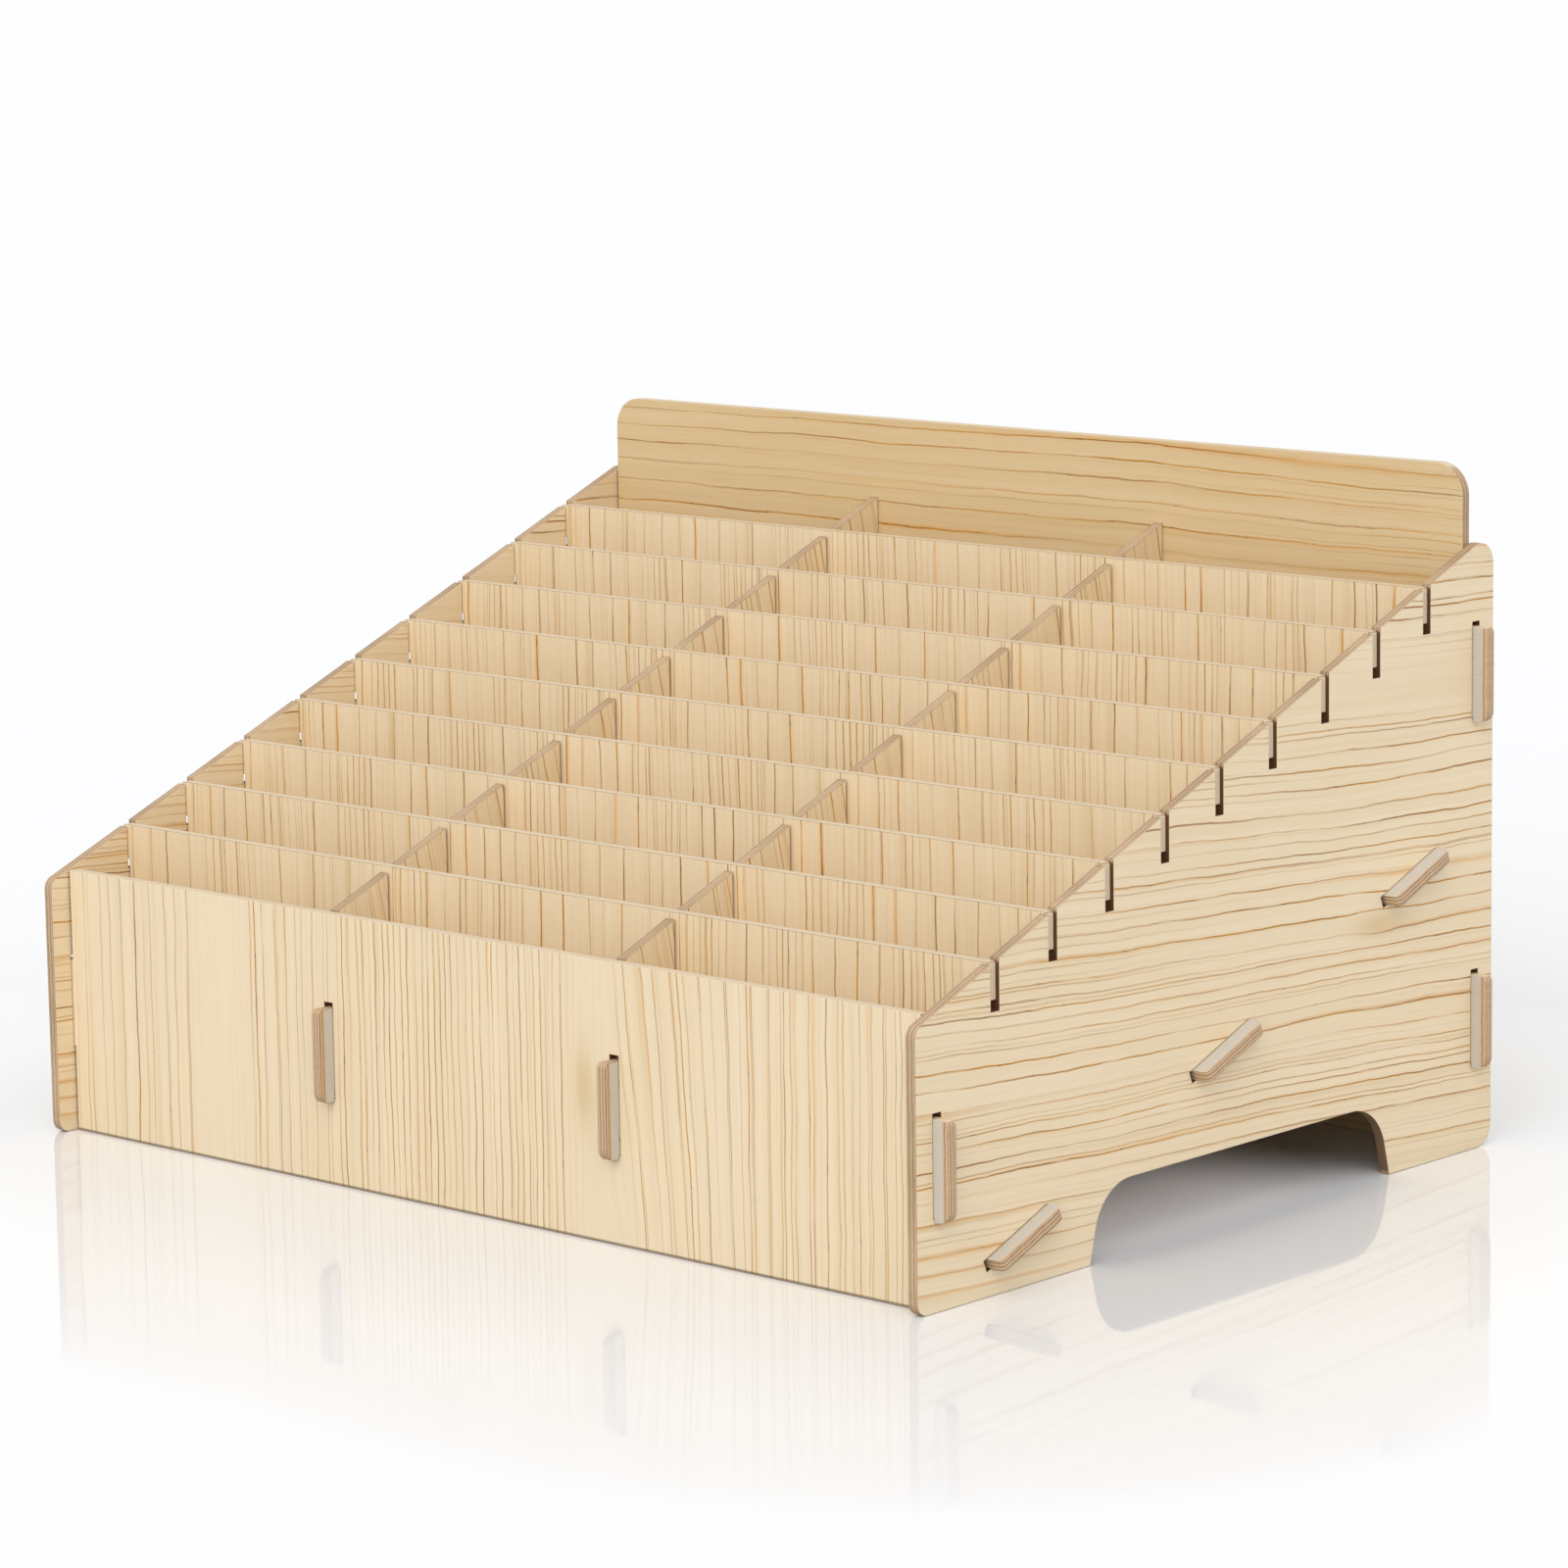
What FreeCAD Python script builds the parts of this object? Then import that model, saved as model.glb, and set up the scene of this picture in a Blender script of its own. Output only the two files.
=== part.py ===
import FreeCAD, Part
import math
import os

# A stepped storage box with thirty compartments, slotted together from flat boards without glue.
# Millimetres. X runs to the right, Y to the back and Z up. While the boards are laid out, Y is
# counted from the front edges of the side panels. The finished box has its origin on the ground,
# in the middle of its footprint.

V = FreeCAD.Vector

# Sheet and overall sizes
board = 3.0
body_width = 330.0
front_height = 73.5
slope_deg = 22.2
back_rise = 19.0
panel_inset = 6.5

# Compartments
column_count = 3
row_count = 10
cell_depth = 19.9

# Clearances
fit = 0.2
seat = 0.2
edge_gap = 0.6
side_gap = 0.4

# Hooked tabs and their slots
tab_length = 26.5
tab_reach = 5.0
tab_lip = 1.2
nose_radius = 3.2
heel_radius = 1.6
low_tab_foot = 24.6
high_tab_foot = 122.4
floor_tab_count = 3
floor_tab_margin = 30.6

# Corners of the boards
front_corner_radius = 3.6
back_corner_radius = 6.0
crest_radius = 9.0

# Arched foot of the side panels
arch_front = 68.0
arch_back_margin = 47.5
arch_height = 20.6
arch_lean = 5.0
arch_radius = 15.0

# Notches of the side panels and the ears that hang in them
notch_depth = 12.8
ear_recess = 1.0
ear_gap = 2.8
ear_radius = 1.0

# Long dividers: how far they lie below the slope, and the room beside each cross divider
long_drop = 1.0
lap_room = 0.6

# How far a cutter runs past what it cuts
overrun = 1.0

# Sizes that follow
half = board / 2
row_pitch = cell_depth + board
divider_count = row_count - 1
front_back_face = panel_inset + board
back_front_face = front_back_face + row_count * cell_depth + divider_count * board
body_depth = back_front_face + board + panel_inset
inner_half_width = body_width / 2 - board
column_width = (2 * inner_half_width - (column_count - 1) * board) / column_count
slope = math.radians(slope_deg)

FACING_FRONT = FreeCAD.Rotation(V(1, 0, 0), 90)
FACING_SIDE = FreeCAD.Rotation(V(1, 1, 1), 120)
ON_SLOPE = FreeCAD.Rotation(V(1, 0, 0), slope_deg)

# The sloping floor: its lower front edge lies on the ground behind the front panel.
floor_start = front_back_face + fit + board * math.sin(slope)
floor_length = (back_front_face - fit - floor_start) / math.cos(slope)


def slope_height(y):
    """Height of the sloping top edge at a distance from the front."""
    return front_height + y * math.tan(slope)


def floor_top(y):
    """Height of the upper face of the sloping floor."""
    return seat + (y - floor_start) * math.tan(slope) + board / math.cos(slope)


def divider_place(number):
    """Distance of a cross divider's middle plane from the front."""
    return front_back_face + number * row_pitch - half


def lap_height(number):
    """Height at which a cross divider and the long dividers meet, half of each cut away."""
    y = divider_place(number)
    return (floor_top(y) + slope_height(y)) / 2


def column_lines():
    """X of each long divider's middle plane."""
    first = -inner_half_width + column_width + half
    return [first + index * (column_width + board) for index in range(column_count - 1)]


def floor_tab_places():
    """Where the middle of each side tab lies along the sloping floor."""
    pitch = (floor_length - 2 * floor_tab_margin) / (floor_tab_count - 1)
    return [floor_tab_margin + index * pitch for index in range(floor_tab_count)]


def rounded_wire(corners):
    """A closed outline through (a, b, radius) corners, each rounded by its own radius."""
    edges = []
    last = None
    first = None
    for index, (a, b, radius) in enumerate(corners):
        corner = V(a, b, 0)
        back = (V(*corners[index - 1][:2], 0) - corner).normalize()
        ahead = (V(*corners[(index + 1) % len(corners)][:2], 0) - corner).normalize()
        half_angle = back.getAngle(ahead) / 2
        reach = radius / math.tan(half_angle)
        start = corner + back * reach
        end = corner + ahead * reach
        if last is not None:
            edges.append(Part.LineSegment(last, start).toShape())
        if radius > 0:
            inward = (back + ahead).normalize()
            middle = corner + inward * (radius / math.sin(half_angle) - radius)
            edges.append(Part.Arc(start, middle, end).toShape())
        first = first or start
        last = end
    edges.append(Part.LineSegment(last, first).toShape())
    return Part.Wire(edges)


def flat_plate(corners):
    """A board cut from the sheet, lying flat with its lower face at zero."""
    return Part.Face(rounded_wire(corners)).extrude(V(0, 0, board))


def hooked_tab(root, outward, along, gap):
    """A tab that passes through a slotted board and hooks behind it.

    root is where the neck leaves the board's edge, at the hook's end. along points from there
    to the other end of the neck, and gap is the space between this edge and the slotted board.
    """
    throat = gap + board + fit
    tip = gap + board + tab_reach
    neck = tab_length - tab_lip
    profile = [
        (-overrun, 0, 0),
        (throat, 0, 0),
        (throat, -tab_lip, 0),
        (tip, -tab_lip, nose_radius),
        (tip, neck, heel_radius),
        (-overrun, neck, 0),
    ]
    corners = []
    for out, up, radius in profile:
        point = root + outward * out + along * up
        corners.append((point.x, point.y, radius))
    return flat_plate(corners)


def tab_slot(root, along):
    """A slot, long enough for a tab's head, from the same root as the tab."""
    start = root - along * fit
    end = root + along * (tab_length + fit)
    across = V(-along.y, along.x, 0) * (half + fit)
    points = [start - across, end - across, end + across, start + across, start - across]
    cutter = Part.Face(Part.makePolygon(points)).extrude(V(0, 0, board + 2 * overrun))
    cutter.translate(V(0, 0, -overrun))
    return cutter


def straight_notch(centre, room, bottom, top):
    """A notch for one board with room on each side, cut through a flat plate between two heights."""
    width = board + 2 * room
    corner = V(centre - width / 2, bottom, -overrun)
    return Part.makeBox(width, top - bottom, board + 2 * overrun, corner)


def divider_notch(number):
    """The open notch in a side panel that takes a cross divider's ear."""
    y = divider_place(number)
    bottom = slope_height(y) - notch_depth
    return straight_notch(y, fit, bottom, slope_height(y + board) + overrun)


def floor_point(along, height):
    """A point of the sloping floor, seen from the side."""
    return V(
        floor_start + along * math.cos(slope) - height * math.sin(slope),
        seat + along * math.sin(slope) + height * math.cos(slope),
        0,
    )


def side_plate():
    """A side panel: sloping top, arched foot, notches for dividers and slots for tabs."""
    arch_back = body_depth - arch_back_margin
    plate = flat_plate([
        (0, 0, front_corner_radius),
        (arch_front, 0, 0),
        (arch_front + arch_lean, arch_height, arch_radius),
        (arch_back - arch_lean, arch_height, arch_radius),
        (arch_back, 0, 0),
        (body_depth, 0, back_corner_radius),
        (body_depth, slope_height(body_depth), back_corner_radius),
        (0, front_height, front_corner_radius),
    ])
    cutters = [divider_notch(number + 1) for number in range(divider_count)]
    up = V(0, 1, 0)
    cutters.append(tab_slot(V(panel_inset + half, low_tab_foot, 0), up))
    for foot in (low_tab_foot, high_tab_foot):
        cutters.append(tab_slot(V(back_front_face + half, foot, 0), up))
    down_slope = V(-math.cos(slope), -math.sin(slope), 0)
    for place in floor_tab_places():
        cutters.append(tab_slot(floor_point(place + tab_length / 2, half), down_slope))
    return plate.cut(cutters)


def cross_plate(height, top_radius, feet):
    """A board that stands between the side panels, with a hooked tab each side at each foot."""
    reach = inner_half_width - edge_gap
    plate = flat_plate([
        (-reach, 0, 0),
        (reach, 0, 0),
        (reach, height, top_radius),
        (-reach, height, top_radius),
    ])
    for foot in feet:
        for side in (-1, 1):
            tab = hooked_tab(V(side * reach, foot, 0), V(side, 0, 0), V(0, 1, 0), edge_gap)
            plate = plate.fuse(tab)
    return plate.removeSplitter()


def front_plate():
    """The front panel, level with the slope, slotted for the long dividers."""
    plate = cross_plate(slope_height(panel_inset), 0, [low_tab_foot])
    return plate.cut([tab_slot(V(x, low_tab_foot, 0), V(0, 1, 0)) for x in column_lines()])


def back_plate():
    """The back panel, which rises above the side panels between rounded corners."""
    height = slope_height(body_depth) + back_rise
    plate = cross_plate(height, crest_radius, [low_tab_foot, high_tab_foot])
    return plate.cut([tab_slot(V(x, high_tab_foot, 0), V(0, 1, 0)) for x in column_lines()])


def floor_plate():
    """The sloping floor, with hooked tabs along both edges."""
    reach = inner_half_width - edge_gap
    plate = flat_plate([
        (-reach, 0, 0),
        (reach, 0, 0),
        (reach, floor_length, 0),
        (-reach, floor_length, 0),
    ])
    for place in floor_tab_places():
        for side in (-1, 1):
            root = V(side * reach, place + tab_length / 2, 0)
            plate = plate.fuse(hooked_tab(root, V(side, 0, 0), V(0, -1, 0), edge_gap))
    return plate.removeSplitter()


def long_plate():
    """A long divider: it follows the slope and the floor, and is notched for cross dividers."""
    front = front_back_face + fit
    back = back_front_face - fit
    plate = flat_plate([
        (front, floor_top(front) + seat, 0),
        (back, floor_top(back) + seat, 0),
        (back, slope_height(back) - long_drop, 0),
        (front, slope_height(front) - long_drop, 0),
    ])
    up = V(0, 1, 0)
    plate = plate.fuse(hooked_tab(V(front, low_tab_foot, 0), V(-1, 0, 0), up, fit))
    plate = plate.fuse(hooked_tab(V(back, high_tab_foot, 0), V(1, 0, 0), up, fit))
    cutters = []
    for number in range(1, row_count):
        y = divider_place(number)
        cutters.append(straight_notch(y, lap_room, lap_height(number), slope_height(y + board) + overrun))
    return plate.removeSplitter().cut(cutters)


def divider_plate(number):
    """A cross divider, which drops in from above and hangs by an ear at each end."""
    y = divider_place(number)
    bottom = floor_top(y + half) + seat
    top = slope_height(y)
    ear_foot = top - notch_depth + ear_gap
    body_reach = inner_half_width - side_gap
    ear_reach = body_width / 2 - ear_recess
    plate = flat_plate([
        (-body_reach, bottom, 0),
        (body_reach, bottom, 0),
        (body_reach, ear_foot, 0),
        (ear_reach, ear_foot, 0),
        (ear_reach, top, ear_radius),
        (-ear_reach, top, ear_radius),
        (-ear_reach, ear_foot, 0),
        (-body_reach, ear_foot, 0),
    ])
    lap_top = lap_height(number) + fit
    return plate.cut([straight_notch(x, fit, bottom - overrun, lap_top) for x in column_lines()])


def stand(plate, rotation, place):
    """Turn a flat plate up into the box, at a place counted from the front edges."""
    turned = plate.copy()
    turned.Placement = FreeCAD.Placement(place - V(0, body_depth / 2, 0), rotation)
    return turned


def build_parts():
    """Every board of the box, by name."""
    parts = {}
    side = side_plate()
    parts["side_panel_left"] = stand(side, FACING_SIDE, V(-body_width / 2, 0, 0))
    parts["side_panel_right"] = stand(side, FACING_SIDE, V(inner_half_width, 0, 0))
    parts["front_panel"] = stand(front_plate(), FACING_FRONT, V(0, front_back_face, 0))
    parts["back_panel"] = stand(back_plate(), FACING_FRONT, V(0, back_front_face + board, 0))
    parts["sloping_floor"] = stand(floor_plate(), ON_SLOPE, V(0, floor_start, seat))
    for index, x in enumerate(column_lines()):
        name = f"long_divider_{index + 1}"
        parts[name] = stand(long_plate(), FACING_SIDE, V(x - half, 0, 0))
    for number in range(1, row_count):
        place = V(0, divider_place(number) + half, 0)
        parts[f"cross_divider_{number}"] = stand(divider_plate(number), FACING_FRONT, place)
    return parts


os.makedirs("parts", exist_ok=True)
for name, shape in build_parts().items():
    shape.exportStep(f"parts/{name}.step")
    print(f"{name}: {len(shape.Solids)} solid, {shape.Volume:.0f} mm3, valid {shape.isValid()}")
print(f"depth {body_depth:.1f}, compartment {column_width:.1f} by {cell_depth:.1f}")
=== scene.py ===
import math
from dataclasses import dataclass

import bpy
from mathutils import Euler, Matrix, Vector


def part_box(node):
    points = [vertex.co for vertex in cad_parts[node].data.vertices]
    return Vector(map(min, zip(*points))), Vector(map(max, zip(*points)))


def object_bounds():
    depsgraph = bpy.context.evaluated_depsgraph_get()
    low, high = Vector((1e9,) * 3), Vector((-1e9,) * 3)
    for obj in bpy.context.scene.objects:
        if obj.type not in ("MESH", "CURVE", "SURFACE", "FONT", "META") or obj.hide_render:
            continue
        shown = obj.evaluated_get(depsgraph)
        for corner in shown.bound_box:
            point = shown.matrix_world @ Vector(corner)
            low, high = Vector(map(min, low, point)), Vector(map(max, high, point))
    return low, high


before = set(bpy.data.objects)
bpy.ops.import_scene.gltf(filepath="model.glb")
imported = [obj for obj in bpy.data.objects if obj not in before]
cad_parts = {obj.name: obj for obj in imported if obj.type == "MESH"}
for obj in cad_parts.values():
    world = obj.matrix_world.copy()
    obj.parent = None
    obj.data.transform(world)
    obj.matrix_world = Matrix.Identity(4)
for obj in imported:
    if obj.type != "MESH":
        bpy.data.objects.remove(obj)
cad_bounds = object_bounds()

# A stepped box of slotted boards: printed pine veneer on thin fibreboard with brown cut edges.
# Metres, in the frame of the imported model. Lengths inside the materials are millimetres.

X = Vector((1, 0, 0))
Y = Vector((0, 1, 0))
Z = Vector((0, 0, 1))
MM_PER_M = 1000.0


@dataclass(frozen=True)
class Noise:
    """Smooth noise whose patches are so many millimetres broad and long, with a seed of its own.

    A patch starts where the noise reaches start, and is full where it reaches full.
    """

    broad: float
    long: float
    seed: float = 0.0
    start: float = 0.0
    full: float = 1.0
    detail: float = 1.0

    def level(self, u, v, seed=0.0):
        """From 0 to 1."""
        return noise(u / self.broad, v / self.long, seed + self.seed, self.detail)

    def sway(self, u, v, seed=0.0):
        """From -0.5 to 0.5."""
        return self.level(u, v, seed) - 0.5

    def patches(self, u, v, seed=0.0):
        """1 in the patches and 0 between them."""
        return self.level(u, v, seed).ramp(self.start, self.full)


@dataclass(frozen=True)
class Layers:
    """Board that is pressed from layers, as its cut edge shows them.

    half_gap is half the distance between two dark seams, and shift moves them all. A seam starts and is
    full at the two places in fade, counted from halfway between two seams. wobble is how far they wander.
    Shares say how dark a seam, a speck and the plain board are.
    """

    pale: tuple
    dark: tuple
    wander: Noise
    speck: Noise
    half_gap: float
    fade: tuple
    seam_share: float
    speck_share: float
    plain_share: float
    shift: float = 0.0
    wobble: float = 0.5


# Camera, solved from the photograph's corners, notches and tabs
PHOTO_SIDE = 1600
FOCAL_PIXELS = 5898.2
SENSOR_WIDTH = 36.0
CAMERA_PLACE = Vector((1.0892, -1.1791, 0.3743))
CAMERA_YAW = math.radians(42.46)
CAMERA_PITCH = math.radians(9.63)
CAMERA_ROLL = math.radians(-0.87)
CAMERA_SIGHT = 100.0

# The side panels' sloping top edge, and the slopes of two kinds of grain
FRONT_HEIGHT = 0.0735
SLOPE = math.radians(22.2)
SIDE_FALL = math.radians(3)
LONG_TILT = math.radians(12)

# Colours, as seen in the photograph, 0 to 255
CREAM = (249, 231, 199)
AMBER = (204, 168, 100)
LINE_ORANGE = (228, 168, 88)
LINE_GOLD = (196, 138, 28)
LINE_BROWN = (152, 100, 26)
LINE_FLECK = (92, 56, 30)
EDGE_TAN = (214, 185, 149)
EDGE_LINE = (124, 90, 58)
# The next is a painted highlight for cut edges that face up or sideways
EDGE_HIGHLIGHT = (234, 216, 186)
# The next is a painted highlight on the veneer along every cut corner
RIM_HIGHLIGHT = (255, 236, 206)
BURNT = (104, 72, 44)
# The next two are char that is also painted shade: in the arch, and in slots and notches
ARCH_CHAR_AND_SHADE = (126, 98, 70)
SLOT_CHAR_AND_SHADE = (96, 62, 38)
# The next is a grey-white painted sheen on the cheeks of the tabs past their panel
TAB_SHEEN = (200, 197, 190)
TAB_TAN = (222, 192, 156)
TAB_BROWN = (148, 112, 80)

# The sky's light on a level surface, and the light that the floor throws back, as shares of white
SKY_SHARE = 0.62
BOUNCE_SHARE = 0.5

# Each sun: direction towards it, strength on a surface that faces it, and how wide it is
SUNS = {
    "sun_front": (Vector((0.32, -0.70, 0.64)), 0.53, math.radians(60)),
    "sun_right": (Vector((1.0, 0.15, 0.25)), 0.16, math.radians(60)),
}

# The floor: how it shows far from the box and beside it, where it has painted shade, its half width, and
# how far it lies below 0
FLOOR_WHITE = (0.98, 0.985, 1.0)
FLOOR_SHADE = (0.91, 0.92, 0.94)
FLOOR_REACH = 30.0
FLOOR_DROP = 0.0001

# How far from the box the floor's painted shade and its mirror start and stop to fade, and how it mirrors
SHADE_REACH = (0.02, 0.1)
MIRROR_REACH = (0.03, 0.17)
MIRROR_LEVEL = 0.5
MIRROR_ROUGHNESS = 0.04
MIRROR_IOR = 1.7

# Painted light on the floor under the box, a glow that shows through the arch: its colour, the depths from
# the side panel where it starts, is full, fades and ends, and as shares of the way from the middle to the
# back and to the front, where it starts and is full
ARCH_LIGHT = (0.22, 0.205, 0.2)
ARCH_LIGHT_DEPTHS = (0.0, 0.018, 0.03, 0.09)
ARCH_LIGHT_BACK_SHARES = (0.7, 0.2)
ARCH_LIGHT_FRONT_SHARES = (0.9, 0.5)

# Grain of the front panel, as shares of its width and height, from the middle
FRONT_LINE_SHARES = (
    (-0.459, 0.5), (-0.438, 0.4), (-0.427, 0.5), (-0.413, 0.6), (-0.395, 1.0), (-0.376, 0.6),
    (-0.357, 0.5), (-0.329, 0.7), (-0.247, 1.0), (-0.221, 0.6), (-0.198, 0.5), (-0.178, 0.7),
    (-0.160, 0.5), (-0.143, 0.9), (-0.125, 0.9), (-0.106, 0.6), (0.170, 0.8), (0.201, 0.7),
    (0.229, 0.9), (0.251, 0.7), (0.279, 0.6), (0.300, 0.8), (0.305, 0.7), (0.322, 0.6),
    (0.338, 0.7), (0.345, 0.6), (0.363, 0.7), (0.381, 0.8), (0.398, 0.6), (0.414, 0.7),
    (0.426, 0.5), (0.438, 0.6), (0.450, 0.5),
)
FRONT_FINE_SHARES = ((-0.125, 0.108),)
FRONT_BLANK_SHARES = ((-0.325, -0.262), (0.115, 0.15))
FRONT_KNOT_SHARES = ((0.127, 0.04),)
FRONT_LEAN_SHARES = (0.135, 0.175, 0.33)
FRONT_LEAN = 8.0

# Grain of the side panels, as shares of their height, from the middle
SIDE_LINE_SHARES = ((0.412, 1.0), (0.243, 0.8), (-0.31, 0.6))
SIDE_BLANK_SHARES = ((0.255, 0.37),)
SIDE_KNOT_SHARES = ((0.2, -0.12), (-0.06, 0.3))

# Where the arch lies in a side panel, as shares of its depth from the middle and of its height
ARCH_SHARES = (-0.245, 0.33)
ARCH_TOP_SHARE = 0.125
ARCH_SOFTNESS = 0.001

# Noise that moves and breaks the grain lines. The breadth of those that start with RING is in gaps.
QUICK_WAVE = Noise(12.0, 32.0, seed=7.0)
TREMBLE = Noise(4.0, 7.0, seed=9.0)
RING_STRENGTH = Noise(1 / 1.7, 160.0, seed=3.0, start=0.32, full=0.62)
RING_GLOW = Noise(1 / 1.3, 200.0, seed=23.0, start=0.56, full=0.68)
RING_RIPENESS = Noise(1 / 0.9, 300.0, seed=11.0, start=0.5, full=0.7)
LINE_BREAKS = Noise(7.0, 24.0, seed=5.0, start=0.32, full=0.48, detail=2.0)
CHOSEN_BREAKS = Noise(9.0, 30.0, seed=21.0, start=0.3, full=0.5, detail=2.0)
FINE_ZONE = Noise(26.0, 900.0, seed=31.0, start=0.48, full=0.58)

# Noise in the colours of the wood and of its lines
STREAK = Noise(4.0, 400.0, seed=13.0, detail=2.0)
BLOTCH = Noise(40.0, 120.0, seed=15.0)
FIBRE = Noise(0.45, 14.0, seed=17.0, detail=2.0)
INK = Noise(4.0, 60.0, seed=19.0, start=0.4, full=0.7)
FLECK = Noise(2.0, 4.0, seed=25.0, start=0.64, full=0.7)

# How much each of these adds to the wood's warmth, and how strong flecks and glow are
LATE_SHARE = 0.24
STREAK_SHARE = 0.32
BLOTCH_SHARE = 0.2
FIBRE_SHARE = 0.16
KNOT_SHARE = 0.4
FLECK_SHARE = 0.7
GLOW_SHARE = 0.5
FINE_GLOW_SHARE = 0.5

# How far the lines are pushed by small waves and by a knot, and how broad and long a knot is
QUICK_PUSH = 1.8
TREMBLE_PUSH = 0.5
KNOT_PUSH = 2.6
KNOT_BREADTH = 3.5
KNOT_LENGTH = 11.0

# Grain lines: how unevenly they are spaced, the share of a line that is full, the reach of the glow
# beside one, the strength of the weakest, and what is left of one where it breaks
UNEVEN_SHARE = 0.8
CORE_SHARE = 0.5
GLOW_REACH = (1.5, 0.2)
WEAKEST_SHARE = 0.15
BREAK_SHARE = 0.5

# Chosen lines: the half width of the thinnest, what full strength adds to it, and where they are full
CHOSEN_HALF = 0.16
CHOSEN_GROWTH = 0.2
CHOSEN_CORE = 0.1

# Fine lines: their gap and thickness, how strong they are outside and inside their zones, and what is
# left of the bolder ones there
FINE_GAP = 2.5
FINE_THICKNESS = 0.27
FINE_STRENGTH_SHARES = (0.08, 0.88)
BOLD_IN_FINE_SHARE = 0.4

# Where late wood starts and is full, as shares of a gap from its middle, and how softly a zone starts
LATE_WOOD_SHARES = (0.15, 0.5)
ZONE_SOFTNESS = 2.0

# What sets apart the seeds of a board's two faces, and of its fine lines
FACE_SEED = 20.0
FINE_SEED = 50.0

# Cut edges, the smoke marks on them, and how deep a speck goes into the board
EDGE_LAYERS = Layers(
    pale=EDGE_TAN,
    dark=EDGE_LINE,
    wander=Noise(9.0, 9.0, seed=40.0),
    speck=Noise(1.5, 1.5, detail=3.0),
    half_gap=0.62,
    fade=(0.32, 0.56),
    seam_share=0.5,
    speck_share=0.5,
    plain_share=0.1,
    shift=0.15,
)
SMOKE = Noise(26.0, 26.0, start=0.3, full=0.7)
SMOKE_SHARE = 0.25
SPECK_DEPTH = 0.3

# The ends of the tabs, and how the painted sheen and the wear on a tab begin past the panel that it goes
# through
TAB_LAYERS = Layers(
    pale=TAB_TAN,
    dark=TAB_BROWN,
    wander=Noise(6.0, 6.0, seed=60.0),
    speck=Noise(1.2, 1.2, seed=61.0, detail=2.0),
    half_gap=0.55,
    fade=(0.2, 0.42),
    seam_share=0.6,
    speck_share=0.4,
    plain_share=0.15,
)
TAB_START = (-0.2, 0.4)
TAB_WORN_FROM = 3.0
SLANTED_TAB_WORN_FROM = 4.1
TAB_WEAR_FADE = 0.3
TAB_SHEEN_SHARE = 0.9

# Corners between a face and a cut edge, and how strong the burnt line and the rim are on them. The rim is
# a painted highlight, or on the dividers a burnt line that also stands in for shade where they cross.
ROUNDING = 0.45
ROUNDING_SAMPLES = 4
CORNER_BURNT_SHARE = 0.7
CORNER_RIM_SHARE = 0.75

# How closely a surface faces a direction where each of these starts and is full: 1 is straight at it
CORNER_FACING = (0.99, 0.88)
VENEER_FACING = (0.9, 0.96)
# The next two are a painted highlight on cut edges that face a chosen way: where it starts and is full, and
# its strength
HIGHLIGHT_FACING = (0.85, 0.9)
HIGHLIGHT_SHARE = 0.75

# Where the painted contact shadow along the front panel's foot starts and is full above the floor
FOOT_HEIGHTS = (0.9, 0.4)
FOOT_SHARE = 0.75

# How far in from the outline the cuts stay pale, without the char and painted shade of the inner cuts: at
# the front panel's ends, where none do, at the other edges of the front and back panels, at the side
# panels' upright edges, and at their foot and slope. MARGIN_FADE is how softly the char and painted shade
# start there, and FAR, in metres, is past every board.
FRONT_END_MARGIN = -1.0
PANEL_MARGIN = 4.0
SIDE_MARGIN = 4.5
SLOPE_MARGIN = 0.2
MARGIN_FADE = 1.2
FAR = 1.0

# Roughness of a cut edge and of the veneer, what fibre adds to it, and the height of fibre and lines
EDGE_ROUGHNESS = 0.62
VENEER_ROUGHNESS = 0.48
FIBRE_ROUGHNESS = 0.1
RELIEF_STRENGTH = 0.3
RELIEF_HEIGHT = 0.03
FIBRE_HEIGHT_SHARE = 0.8
LINE_DEPTH_SHARE = 0.2


def linear(colour):
    """A colour from 0 to 255 as linear red, green, blue and alpha."""
    channels = [channel / 255 for channel in colour]
    return [c / 12.92 if c <= 0.04045 else ((c + 0.055) / 1.055) ** 2.4 for c in channels] + [1.0]


class Field:
    """A value that changes over a surface: a node's output that plain arithmetic can use."""

    def __init__(self, socket):
        self.socket = socket
        self.tree = socket.id_data

    def math(self, operation, *others, clamp=False):
        return calc(self.tree, operation, self, *others, clamp=clamp)

    def __add__(self, other):
        return self.math("ADD", other)

    def __sub__(self, other):
        return self.math("SUBTRACT", other)

    def __rsub__(self, other):
        return calc(self.tree, "SUBTRACT", other, self)

    def __mul__(self, other):
        return self.math("MULTIPLY", other)

    def __truediv__(self, other):
        return self.math("DIVIDE", other)

    def size(self):
        return self.math("ABSOLUTE")

    def between(self, low, high):
        """A share from 0 to 1, as a value from low to high."""
        return self * (high - low) + low

    def ramp(self, low, high):
        """0 at low and 1 at high, with a soft turn at both. Low may lie above high."""
        node = add_node(self.tree, "ShaderNodeMapRange", interpolation_type="SMOOTHSTEP")
        plug(node.inputs["Value"], self)
        node.inputs["From Min"].default_value = low
        node.inputs["From Max"].default_value = high
        return Field(node.outputs["Result"])


def add_node(tree, kind, **settings):
    node = tree.nodes.new(kind)
    for name, value in settings.items():
        setattr(node, name, value)
    return node


def plug(socket, value):
    """Set a socket, or link it to a field."""
    if isinstance(value, Field):
        value.tree.links.new(value.socket, socket)
    else:
        socket.default_value = value


def calc(tree, operation, *values, clamp=False):
    node = add_node(tree, "ShaderNodeMath", operation=operation, use_clamp=clamp)
    for socket, value in zip(node.inputs, values):
        plug(socket, value)
    return Field(node.outputs[0])


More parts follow.
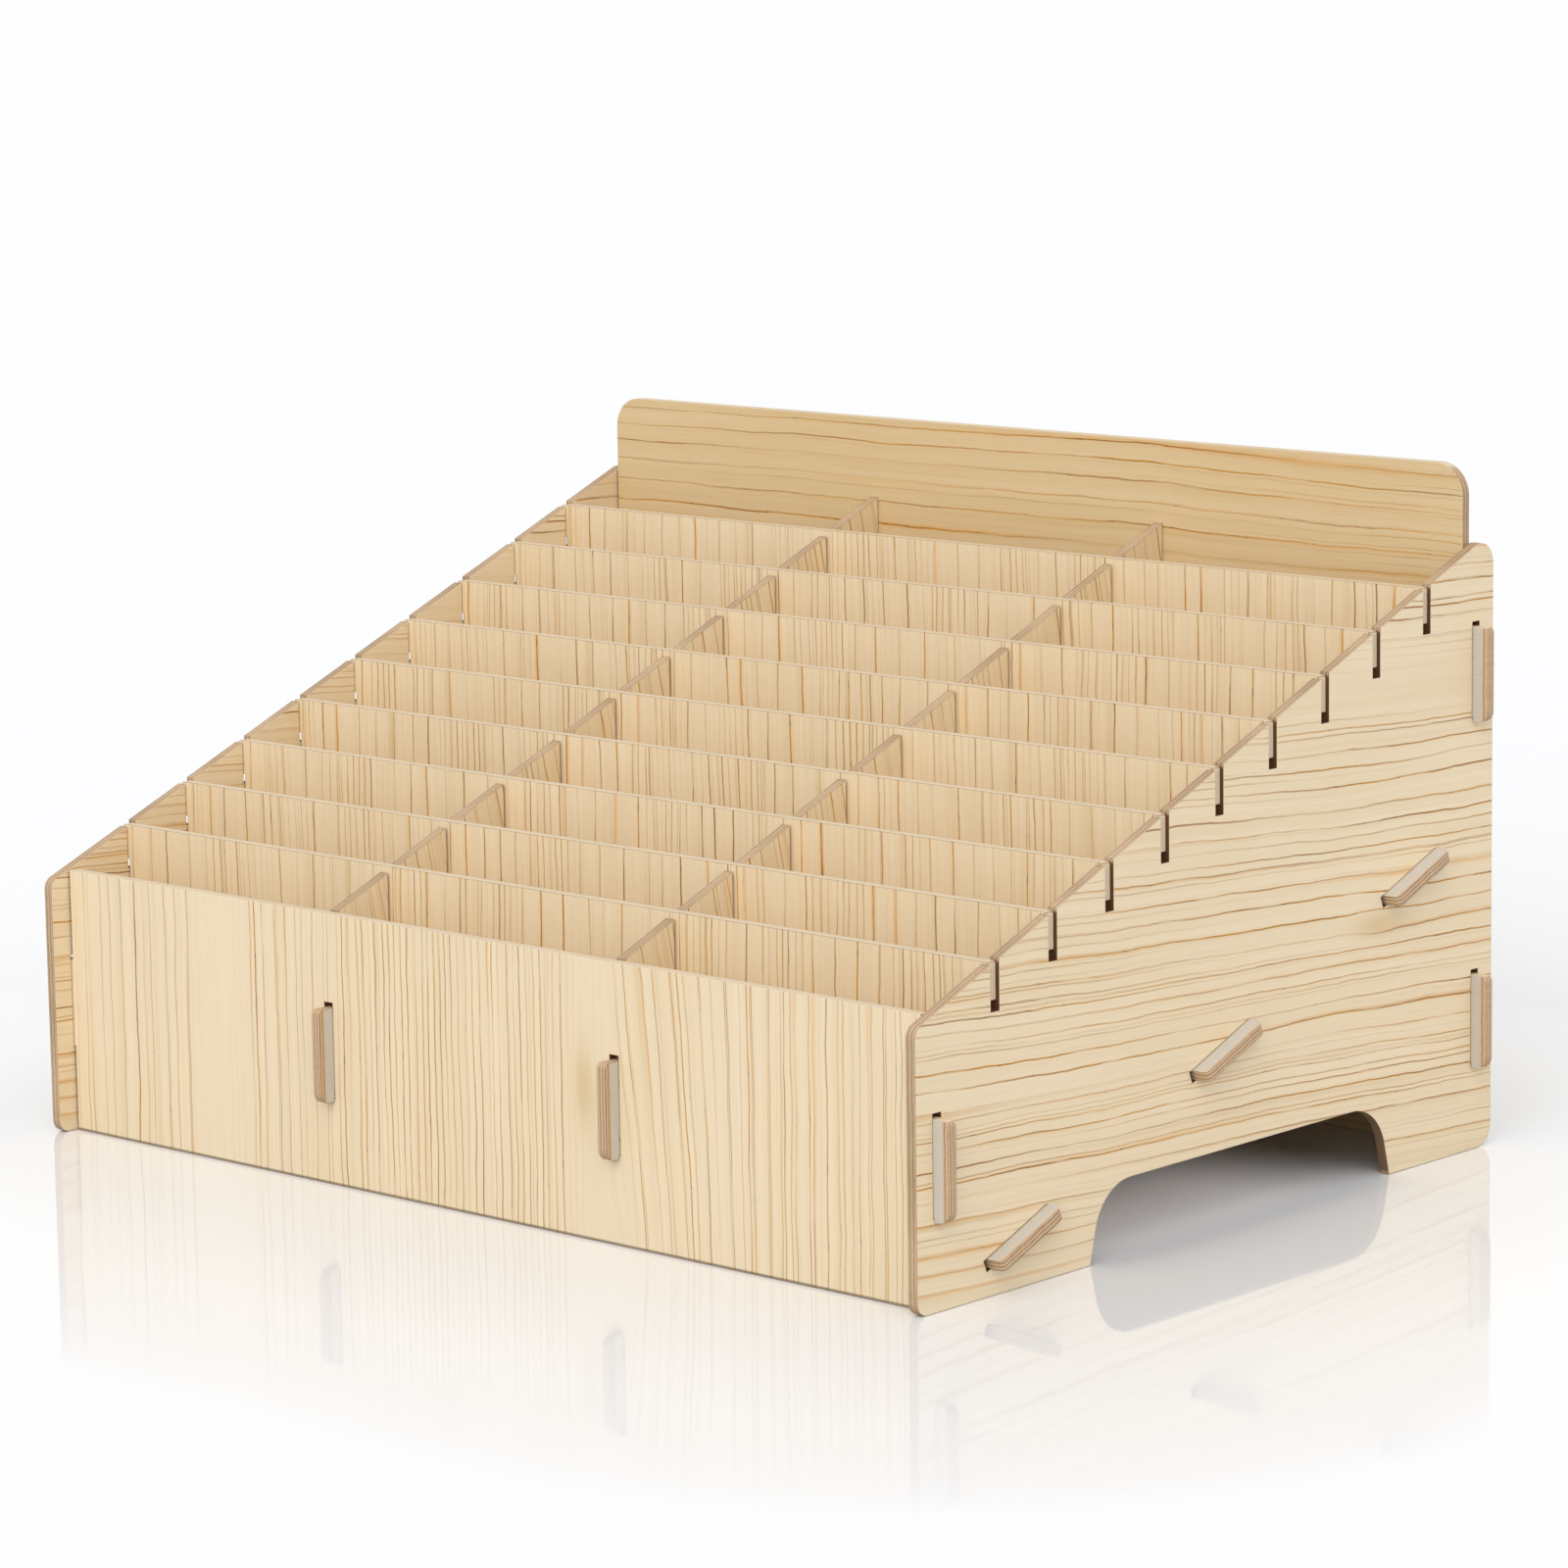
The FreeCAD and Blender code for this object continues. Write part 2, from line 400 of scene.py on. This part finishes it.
def noise(u, v, seed, detail):
    """Smooth noise from 0 to 1 over a plane."""
    tree = u.tree
    place = add_node(tree, "ShaderNodeCombineXYZ")
    for socket, value in zip(place.inputs, (u, v, seed)):
        plug(socket, value)
    node = add_node(tree, "ShaderNodeTexNoise", noise_dimensions="3D")
    tree.links.new(place.outputs[0], node.inputs["Vector"])
    node.inputs["Scale"].default_value = 1.0
    node.inputs["Detail"].default_value = detail
    return Field(node.outputs[0])


def cells(place, feature, output):
    """Cells of uneven length along a line."""
    node = add_node(place.tree, "ShaderNodeTexVoronoi", voronoi_dimensions="1D", feature=feature)
    plug(node.inputs["W"], place)
    node.inputs["Scale"].default_value = 1.0
    node.inputs["Randomness"].default_value = UNEVEN_SHARE
    return Field(node.outputs[output])


def mix(share, first, second):
    """A colour between two colours."""
    node = add_node(share.tree, "ShaderNodeMix", data_type="RGBA")
    plug(node.inputs["Factor"], share)
    colours = [socket for socket in node.inputs if socket.type == "RGBA"]
    plug(colours[0], first)
    plug(colours[1], second)
    return Field(next(socket for socket in node.outputs if socket.type == "RGBA"))


def dot(tree, vector_socket, other):
    """How far a vector points along a direction or another vector."""
    node = add_node(tree, "ShaderNodeVectorMath", operation="DOT_PRODUCT")
    tree.links.new(vector_socket, node.inputs[0])
    if isinstance(other, bpy.types.NodeSocket):
        tree.links.new(other, node.inputs[1])
    else:
        node.inputs[1].default_value = other
    return Field(node.outputs["Value"])


@dataclass
class Grain:
    """How the printed wood runs over a board. Lengths are millimetres.

    gap is the usual distance between bold lines, and thickness about the width of one. Slow waves push the
    lines by up to about half of wave, and each wave is as broad and as long as it says. The honey shares
    say how warm the wood is on the face at the low side and on the one at the high side; on the back
    panel's face towards the box that warmth is partly painted shade. loose says how strong the lines are
    that lie anywhere.
    Shares are of the board's size, from its middle: of each chosen line its place and its strength, of each
    zone of fine lines and each blank one its two ends, of each knot its place across and along, and where
    the lines start to lean, lean most by lean, and stop.
    """

    across: Vector
    along: Vector
    gap: float = 5.0
    thickness: float = 0.3
    wave: float = 6.0
    breadth: float = 60.0
    length: float = 320.0
    honey_and_shade: tuple = (0.1, 0.1)
    line_shares: tuple = ()
    fine_shares: tuple = ()
    blank_shares: tuple = ()
    knot_shares: tuple = ()
    lean_shares: tuple = ()
    lean: float = 0.0
    loose: float = 1.0
    seed: float = 0.0


@dataclass
class Cuts:
    """Where a board's cut edges differ.

    Tabs are a direction, how far from the middle they start, and the millimetres after which they are worn.
    limits are the board's outline as a direction, the lowest and the highest place along it, and a
    margin in millimetres. Cuts that lie further inside are burnt and darkened with painted shade. Cuts that
    face a direction in pale get a painted highlight over part of their burn. rim is the colour of the
    veneer
    along every cut: a painted highlight, or on the dividers a burnt line that also stands in for shade
    where they cross.
    """

    tabs: tuple = ()
    rim: tuple = RIM_HIGHLIGHT
    limits: tuple = ()
    arched: bool = False
    pale: tuple = ()
    shaded_foot: bool = False


def band(place, low, high, soft):
    """1 between two places and 0 beyond them."""
    return (place - low).ramp(-soft, soft) * (high - place).ramp(-soft, soft)


def bands(place, shares, width):
    """1 in each of several zones and 0 between them."""
    zones = [band(place, low * width, high * width, ZONE_SOFTNESS) for low, high in shares]
    return sum(zones[1:], zones[0])


def knots(grain, width, reach, u, v):
    """How near a point is to the middle of a knot, and which side of it the point is on."""
    near = u * 0.0
    side = u * 0.0
    for across_share, along_share in grain.knot_shares:
        du = (u - across_share * width) / KNOT_BREADTH
        dv = (v - along_share * reach) / KNOT_LENGTH
        close = ((du * du + dv * dv) * -1.0).math("EXPONENT")
        near = near.math("MAXIMUM", close)
        side = side + du * close
    return near, side


def grain_place(grain, width, reach, u, v, seed):
    """Where a point lies across the grain, once the lines wave and lean."""
    slow = Noise(grain.breadth, grain.length).sway(u, v, seed)
    quick = QUICK_WAVE.sway(u, v, seed)
    tremble = TREMBLE.sway(u, v, seed)
    place = u + slow * grain.wave + quick * QUICK_PUSH + tremble * TREMBLE_PUSH
    if grain.lean_shares:
        start, full, end = [share * width for share in grain.lean_shares]
        place = place + u.ramp(start, full) * u.ramp(end, full) * grain.lean * (v / reach - 0.5)
    return place


def hairlines(place, v, gap, thickness, seed):
    """Thin lines across the grain, broken here and there, and the warm glow beside some of them."""
    ring = place / gap
    edge = cells(ring, "DISTANCE_TO_EDGE", "Distance") * gap
    strength = RING_STRENGTH.patches(ring, v, seed).between(WEAKEST_SHARE, 1.0)
    whole = LINE_BREAKS.patches(place, v, seed).between(BREAK_SHARE, 1.0)
    line = edge.ramp(thickness, CORE_SHARE * thickness) * strength * whole
    return line, edge.ramp(*GLOW_REACH) * RING_GLOW.patches(ring, v, seed)


def chosen_lines(grain, width, place, v, seed):
    """Lines at places of their own, each with its own strength."""
    line = place * 0.0
    for share, strength in grain.line_shares:
        distance = (place - share * width).size()
        half = CHOSEN_HALF + CHOSEN_GROWTH * strength
        line = line.math("MAXIMUM", distance.ramp(half, CHOSEN_CORE) * strength)
    return line * CHOSEN_BREAKS.patches(place, v, seed).between(BREAK_SHARE, 1.0)


def grain_zones(grain, width, place, v, seed):
    """How much of the fine lines shows at each place, and how much of the other grain."""
    if grain.fine_shares:
        fine_zone = bands(place, grain.fine_shares, width)
    else:
        fine_zone = FINE_ZONE.patches(place, v, seed)
    open_zone = fine_zone.between(1.0, BOLD_IN_FINE_SHARE)
    if grain.blank_shares:
        open_zone = open_zone - bands(place, grain.blank_shares, width)
    return fine_zone, open_zone.math("MAXIMUM", 0.0)


def wood_colour(grain, place, v, seed, side, open_zone, near_knot, fibre):
    """Cream wood that turns to amber in its late rings, streaks, blotches, fibres and knots."""
    ring = place / grain.gap
    late = (ring - cells(ring, "F1", "W")).ramp(*LATE_WOOD_SHARES) * RING_RIPENESS.patches(ring, v, seed)
    # Each face's own warmth, which on the back panel's face towards the box is partly painted shade
    warm = side.ramp(-1.0, 1.0).between(*grain.honey_and_shade) + late * open_zone * LATE_SHARE
    warm = warm + STREAK.sway(place, v, seed) * STREAK_SHARE + BLOTCH.sway(place, v, seed) * BLOTCH_SHARE
    warm = warm + fibre * FIBRE_SHARE + near_knot * KNOT_SHARE
    return mix(warm.math("MAXIMUM", 0.0, clamp=True), linear(CREAM), linear(AMBER))


def line_colour(place, v, seed):
    """The grain lines' gold and brown, with dark flecks."""
    ink = mix(INK.patches(place, v, seed), linear(LINE_GOLD), linear(LINE_BROWN))
    return mix(FLECK.patches(place, v, seed) * FLECK_SHARE, ink, linear(LINE_FLECK))


def veneer_colour(grain, width, reach, u, v, side):
    """Pale printed pine, how dark each point of its grain lines is, and its fibre."""
    seed = side * FACE_SEED + grain.seed
    near_knot, knot_side = knots(grain, width, reach, u, v)
    place = grain_place(grain, width, reach, u, v, seed) - knot_side * KNOT_PUSH
    fine_zone, open_zone = grain_zones(grain, width, place, v, seed)
    bold, glow = hairlines(place, v, grain.gap, grain.thickness, seed)
    if grain.line_shares:
        bold = (bold * grain.loose).math("MAXIMUM", chosen_lines(grain, width, place, v, seed))
    fine, fine_glow = hairlines(place, v, FINE_GAP, FINE_THICKNESS, seed + FINE_SEED)
    line = (bold * open_zone).math("MAXIMUM", fine * fine_zone.between(*FINE_STRENGTH_SHARES))
    glow = (glow * open_zone * grain.loose).math("MAXIMUM", fine_glow * fine_zone * FINE_GLOW_SHARE)
    fibre = FIBRE.sway(place, v, seed)
    wood = wood_colour(grain, place, v, seed, side, open_zone, near_knot, fibre)
    wood = mix(glow * GLOW_SHARE, wood, linear(LINE_ORANGE))
    return mix(line, wood, line_colour(place, v, seed)), line, fibre


def layered_colour(layers, place, u, v, speck_seed=0.0, smoke=0.0):
    """Pale pressed board with specks, dark seams across the place, and smoke where there is any."""
    wander = layers.wander.sway(u, v) * layers.wobble
    seam = (place + wander + layers.shift).math("PINGPONG", layers.half_gap).ramp(*layers.fade)
    speck = layers.speck.sway(u, v, speck_seed)
    dark = seam * layers.seam_share + smoke + speck * layers.speck_share + layers.plain_share
    return mix(dark.math("MAXIMUM", 0.0, clamp=True), linear(layers.pale), linear(layers.dark))


def inside(tree, place, limits):
    """1 well inside the board's outline, and 0 within each limit's margin of it."""
    share = None
    for direction, low, high, margin in limits:
        here = dot(tree, place, direction)
        depth = (high - here).math("MINIMUM", here - low) * MM_PER_M
        step = depth.ramp(margin, margin + MARGIN_FADE)
        share = share * step if share else step
    return share


def arch_share(tree, node, place):
    """1 around a side panel's arch."""
    low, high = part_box(node)
    front, back = [share * (high.y - low.y) for share in ARCH_SHARES]
    y = dot(tree, place, Y)
    z = dot(tree, place, Z)
    under = (high.z * ARCH_TOP_SHARE - z).ramp(-ARCH_SOFTNESS, ARCH_SOFTNESS)
    return band(y, front, back, ARCH_SOFTNESS) * under


def cut_colour(tree, node, place, t, u, v, cuts):
    """The colour of a board's cut edges, with slots, notches and an arch that are burnt and darkened with
    painted shade.
    """
    smoke = SMOKE.patches(u, v) * SMOKE_SHARE
    colour = layered_colour(EDGE_LAYERS, t, u, v, t / SPECK_DEPTH, smoke)
    # Cuts inside the outline (slots, notches, the arch) turn dark: char with painted shade of their hollows
    if cuts.limits:
        char_and_shade = linear(SLOT_CHAR_AND_SHADE)
        if cuts.arched:
            char_and_shade = mix(arch_share(tree, node, place), char_and_shade, linear(ARCH_CHAR_AND_SHADE))
        colour = mix(inside(tree, place, cuts.limits), colour, char_and_shade)
    return colour


def corner(tree, normal):
    """The normal once every cut corner is rounded, and 1 along the corners, fading out beside them."""
    round_off = add_node(tree, "ShaderNodeBevel", samples=ROUNDING_SAMPLES)
    round_off.inputs["Radius"].default_value = ROUNDING / MM_PER_M
    rounded = round_off.outputs["Normal"]
    return rounded, dot(tree, rounded, normal).ramp(*CORNER_FACING)


def add_surface(tree, colour, roughness, height, normal):
    """The shader of a board, with its fibre and lines in relief."""
    surface = add_node(tree, "ShaderNodeBsdfPrincipled")
    plug(surface.inputs["Base Color"], colour)
    plug(surface.inputs["Roughness"], roughness)
    relief = add_node(tree, "ShaderNodeBump")
    relief.inputs["Strength"].default_value = RELIEF_STRENGTH
    relief.inputs["Distance"].default_value = RELIEF_HEIGHT / MM_PER_M
    plug(relief.inputs["Height"], height)
    tree.links.new(normal, relief.inputs["Normal"])
    tree.links.new(relief.outputs["Normal"], surface.inputs["Normal"])
    output = add_node(tree, "ShaderNodeOutputMaterial")
    tree.links.new(surface.outputs["BSDF"], output.inputs["Surface"])


def board_material(node, grain, face, cuts):
    """Printed veneer on a board's two broad faces, and cut fibreboard on its edges."""
    material = bpy.data.materials.new(f"{node}_board")
    material.use_nodes = True
    tree = material.node_tree
    tree.nodes.clear()
    low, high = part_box(node)
    middle = (low + high) / 2
    width, reach = [abs((high - low).dot(way)) * MM_PER_M for way in (grain.across, grain.along)]
    place = add_node(tree, "ShaderNodeTexCoord").outputs["Object"]
    normal = add_node(tree, "ShaderNodeNewGeometry").outputs["True Normal"]
    ways = (grain.across, grain.along, face)
    u, v, t = [(dot(tree, place, way) - middle.dot(way)) * MM_PER_M for way in ways]
    veneer, line, fibre = veneer_colour(grain, width, reach, u, v, t.math("SIGN"))
    edge = cut_colour(tree, node, place, t, u, v, cuts)
    for direction, start, worn in cuts.tabs:
        out = (dot(tree, place, direction).size() - start) * MM_PER_M
        beyond = out.ramp(*TAB_START)
        # Painted sheen: the tab's cheeks turn grey-white past the panel
        veneer = mix(beyond * TAB_SHEEN_SHARE, veneer, linear(TAB_SHEEN))
        veneer = mix((out - worn).ramp(0.0, TAB_WEAR_FADE), veneer, layered_colour(TAB_LAYERS, out, u, v))
        edge = mix(beyond, edge, layered_colour(TAB_LAYERS, t, u, v))
    # Painted contact shadow along the foot of the front panel
    if cuts.shaded_foot:
        foot = (dot(tree, place, Z) * MM_PER_M).ramp(*FOOT_HEIGHTS)
        veneer = mix(foot * FOOT_SHARE, veneer, linear(SLOT_CHAR_AND_SHADE))
    rounded, near_corner = corner(tree, normal)
    edge = mix(near_corner * CORNER_BURNT_SHARE, edge, linear(BURNT))
    # Painted highlight: cut edges that face a direction in pale turn lighter
    for direction in cuts.pale:
        pale = dot(tree, normal, direction).size().ramp(*HIGHLIGHT_FACING)
        edge = mix(pale * HIGHLIGHT_SHARE, edge, linear(EDGE_HIGHLIGHT))
    # The veneer along each cut corner takes the rim colour: a painted highlight, or on the dividers a burnt
    # line that also paints shade where they cross
    veneer = mix(near_corner * CORNER_RIM_SHARE, veneer, linear(cuts.rim))
    facing = dot(tree, normal, face).size().ramp(*VENEER_FACING)
    roughness = facing.between(EDGE_ROUGHNESS, VENEER_ROUGHNESS) + fibre * FIBRE_ROUGHNESS
    height = fibre * FIBRE_HEIGHT_SHARE - line * LINE_DEPTH_SHARE
    add_surface(tree, mix(facing, edge, veneer), roughness, height, rounded)
    return material


def dress(node, grain, face, cuts):
    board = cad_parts[node]
    board.data.materials.clear()
    board.data.materials.append(board_material(node, grain, face, cuts))


def dress_front_and_back():
    inner_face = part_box("side_panel_right")[0].x
    side_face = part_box("side_panel_right")[1].x
    tabs = ((X, side_face, TAB_WORN_FROM),)
    front = Grain(X, Z, wave=3.0, length=420.0, honey_and_shade=(0.14, 0.2), loose=0.55, seed=1.0)
    front.line_shares = FRONT_LINE_SHARES
    front.fine_shares = FRONT_FINE_SHARES
    front.blank_shares = FRONT_BLANK_SHARES
    front.knot_shares = FRONT_KNOT_SHARES
    front.lean_shares = FRONT_LEAN_SHARES
    front.lean = FRONT_LEAN
    # The back panel's face towards the box is much warmer: partly painted shade
    back = Grain(Z, X, gap=5.5, length=200.0, honey_and_shade=(0.6, 0.2), seed=2.0)
    for name, grain in (("front_panel", front), ("back_panel", back)):
        low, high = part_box(name)
        is_front = name == "front_panel"
        end_margin = FRONT_END_MARGIN if is_front else PANEL_MARGIN
        limits = ((X, -inner_face, inner_face, end_margin), (Z, low.z, high.z, PANEL_MARGIN))
        dress(name, grain, Y, Cuts(tabs=tabs, limits=limits, pale=(Z,), shaded_foot=is_front))


def dress_sides():
    fall = Vector((0, math.cos(SIDE_FALL), -math.sin(SIDE_FALL)))
    off_slope = Vector((0, -math.sin(SLOPE), math.cos(SLOPE)))
    for name, honey_and_shade in (("side_panel_left", (0.14, 0.26)), ("side_panel_right", (0.26, 0.14))):
        side = Grain(fall.cross(X) * -1, fall, gap=4.8, wave=9.0, length=240.0, honey_and_shade=honey_and_shade, seed=3.0)
        side.line_shares = SIDE_LINE_SHARES
        side.blank_shares = SIDE_BLANK_SHARES
        side.knot_shares = SIDE_KNOT_SHARES
        low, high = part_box(name)
        slope_top = Vector((0, low.y, FRONT_HEIGHT)).dot(off_slope)
        upright_edges = (Y, low.y, high.y, SIDE_MARGIN)
        limits = (upright_edges, (Z, low.z, FAR, SLOPE_MARGIN), (off_slope, -FAR, slope_top, SLOPE_MARGIN))
        dress(name, side, X, Cuts(limits=limits, arched=True))


def dress_inner_boards():
    side_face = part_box("side_panel_right")[1].x
    front_face = -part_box("front_panel")[0].y
    low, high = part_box("sloping_floor")
    slope = Vector((0, high.y - low.y, high.z - low.z)).normalized()
    base = Grain(X, slope, honey_and_shade=(0.5, 0.3), seed=6.0)
    dress("sloping_floor", base, slope.cross(X), Cuts(tabs=((X, side_face, SLANTED_TAB_WORN_FROM),)))
    tilt = Vector((0, math.cos(LONG_TILT), math.sin(LONG_TILT)))
    for number in (1, 2):
        long = Grain(tilt, tilt.cross(X) * -1, honey_and_shade=(0.26, 0.3), seed=7.0 + number)
        dress(f"long_divider_{number}", long, X, Cuts(tabs=((Y, front_face, TAB_WORN_FROM),), rim=BURNT))
    for number in range(1, 10):
        cross = Grain(X, Z, gap=7.5, wave=5.0, honey_and_shade=(0.24, 0.24), thickness=0.34, seed=10.0 + number)
        dress(f"cross_divider_{number}", cross, Y, Cuts(rim=BURNT, pale=(Z, X)))


def is_seen(tree):
    """1 where the camera sees a surface, straight or mirrored, and 0 where it only lights others."""
    rays = add_node(tree, "ShaderNodeLightPath")
    seen = Field(rays.outputs["Is Camera Ray"]).math("MAXIMUM", Field(rays.outputs["Is Glossy Ray"]))
    return seen.math("MAXIMUM", Field(rays.outputs["Is Transmission Ray"]))


def floor_places(tree):
    """How much painted light the floor shows under the arch, and how far each point is from the box's foot.
    """
    low, high = cad_bounds
    place = add_node(tree, "ShaderNodeTexCoord").outputs["Object"]
    x = dot(tree, place, X)
    y = dot(tree, place, Y)
    start, full, fade, end = ARCH_LIGHT_DEPTHS
    depth = high.x - x
    lit = depth.ramp(start, full) * depth.ramp(end, fade)
    for edge, (outer, inner) in ((high.y, ARCH_LIGHT_BACK_SHARES), (low.y, ARCH_LIGHT_FRONT_SHARES)):
        lit = lit * y.ramp(outer * edge, inner * edge)
    past_side = (x.size() - high.x).math("MAXIMUM", 0.0)
    past_front = (y.size() - high.y).math("MAXIMUM", 0.0)
    return lit, (past_side * past_side + past_front * past_front).math("SQRT")


def floor_material():
    """A pale polished floor that shows whiter than the light it throws back, with painted shade beside the
    box and a painted glow under the arch, and fades to white.
    """
    material = bpy.data.materials.new("floor")
    material.use_nodes = True
    tree = material.node_tree
    surface = tree.nodes["Principled BSDF"]
    level = SKY_SHARE + sum(strength * way.normalized().z for way, strength, spread in SUNS.values())
    white, near = [[channel / level for channel in colour] + [1.0] for colour in (FLOOR_WHITE, FLOOR_SHADE)]
    lit, away = floor_places(tree)
    # Painted shade on the floor beside the box
    shown = mix(away.ramp(*SHADE_REACH), near, white)
    plug(surface.inputs["Base Color"], mix(is_seen(tree), [BOUNCE_SHARE] * 3 + [1.0], shown))
    # A painted glow on the floor under the arch, seen only by the camera and in mirrors
    surface.inputs["Emission Color"].default_value = [*ARCH_LIGHT, 1.0]
    plug(surface.inputs["Emission Strength"], is_seen(tree) * lit)
    plug(surface.inputs["Specular IOR Level"], away.ramp(*reversed(MIRROR_REACH)) * MIRROR_LEVEL)
    surface.inputs["Roughness"].default_value = MIRROR_ROUGHNESS
    surface.inputs["IOR"].default_value = MIRROR_IOR
    return material


def add_floor():
    mesh = bpy.data.meshes.new("floor")
    corners = [(-FLOOR_REACH, -FLOOR_REACH, 0), (FLOOR_REACH, -FLOOR_REACH, 0)]
    corners += [(FLOOR_REACH, FLOOR_REACH, 0), (-FLOOR_REACH, FLOOR_REACH, 0)]
    mesh.from_pydata(corners, [], [(0, 1, 2, 3)])
    floor = bpy.data.objects.new("floor", mesh)
    floor.location.z = -FLOOR_DROP
    bpy.context.scene.collection.objects.link(floor)
    mesh.materials.append(floor_material())


def light_world():
    """A white studio: full strength where it is seen or mirrored, a share of it on matte surfaces."""
    world = bpy.data.worlds.new("studio")
    bpy.context.scene.world = world
    world.use_nodes = True
    tree = world.node_tree
    background = tree.nodes["Background"]
    background.inputs["Color"].default_value = [1.0] * 4
    plug(background.inputs["Strength"], is_seen(tree).between(SKY_SHARE, 1.0))


def add_suns():
    """Wide soft lights, unseen in the floor: one from above the front and a weak one from the right."""
    for name, (direction, strength, spread) in SUNS.items():
        lamp = bpy.data.lights.new(name, "SUN")
        lamp.angle = spread
        lamp.energy = strength * math.pi
        holder = bpy.data.objects.new(name, lamp)
        holder.rotation_mode = "QUATERNION"
        holder.rotation_quaternion = direction.to_track_quat("Z", "Y")
        holder.visible_glossy = False
        bpy.context.scene.collection.objects.link(holder)


def add_camera():
    camera = bpy.data.cameras.new("camera")
    camera.sensor_width = SENSOR_WIDTH
    camera.lens = FOCAL_PIXELS / PHOTO_SIDE * SENSOR_WIDTH
    camera.clip_end = CAMERA_SIGHT
    holder = bpy.data.objects.new("camera", camera)
    turn = Euler((math.pi / 2 - CAMERA_PITCH, 0, CAMERA_YAW)).to_matrix()
    turn = turn @ Matrix.Rotation(CAMERA_ROLL, 3, "Z")
    holder.matrix_world = Matrix.Translation(CAMERA_PLACE) @ turn.to_4x4()
    bpy.context.scene.collection.objects.link(holder)
    bpy.context.scene.camera = holder


dress_front_and_back()
dress_sides()
dress_inner_boards()
add_floor()
light_world()
add_suns()
add_camera()
bpy.context.scene.view_settings.view_transform = "Standard"
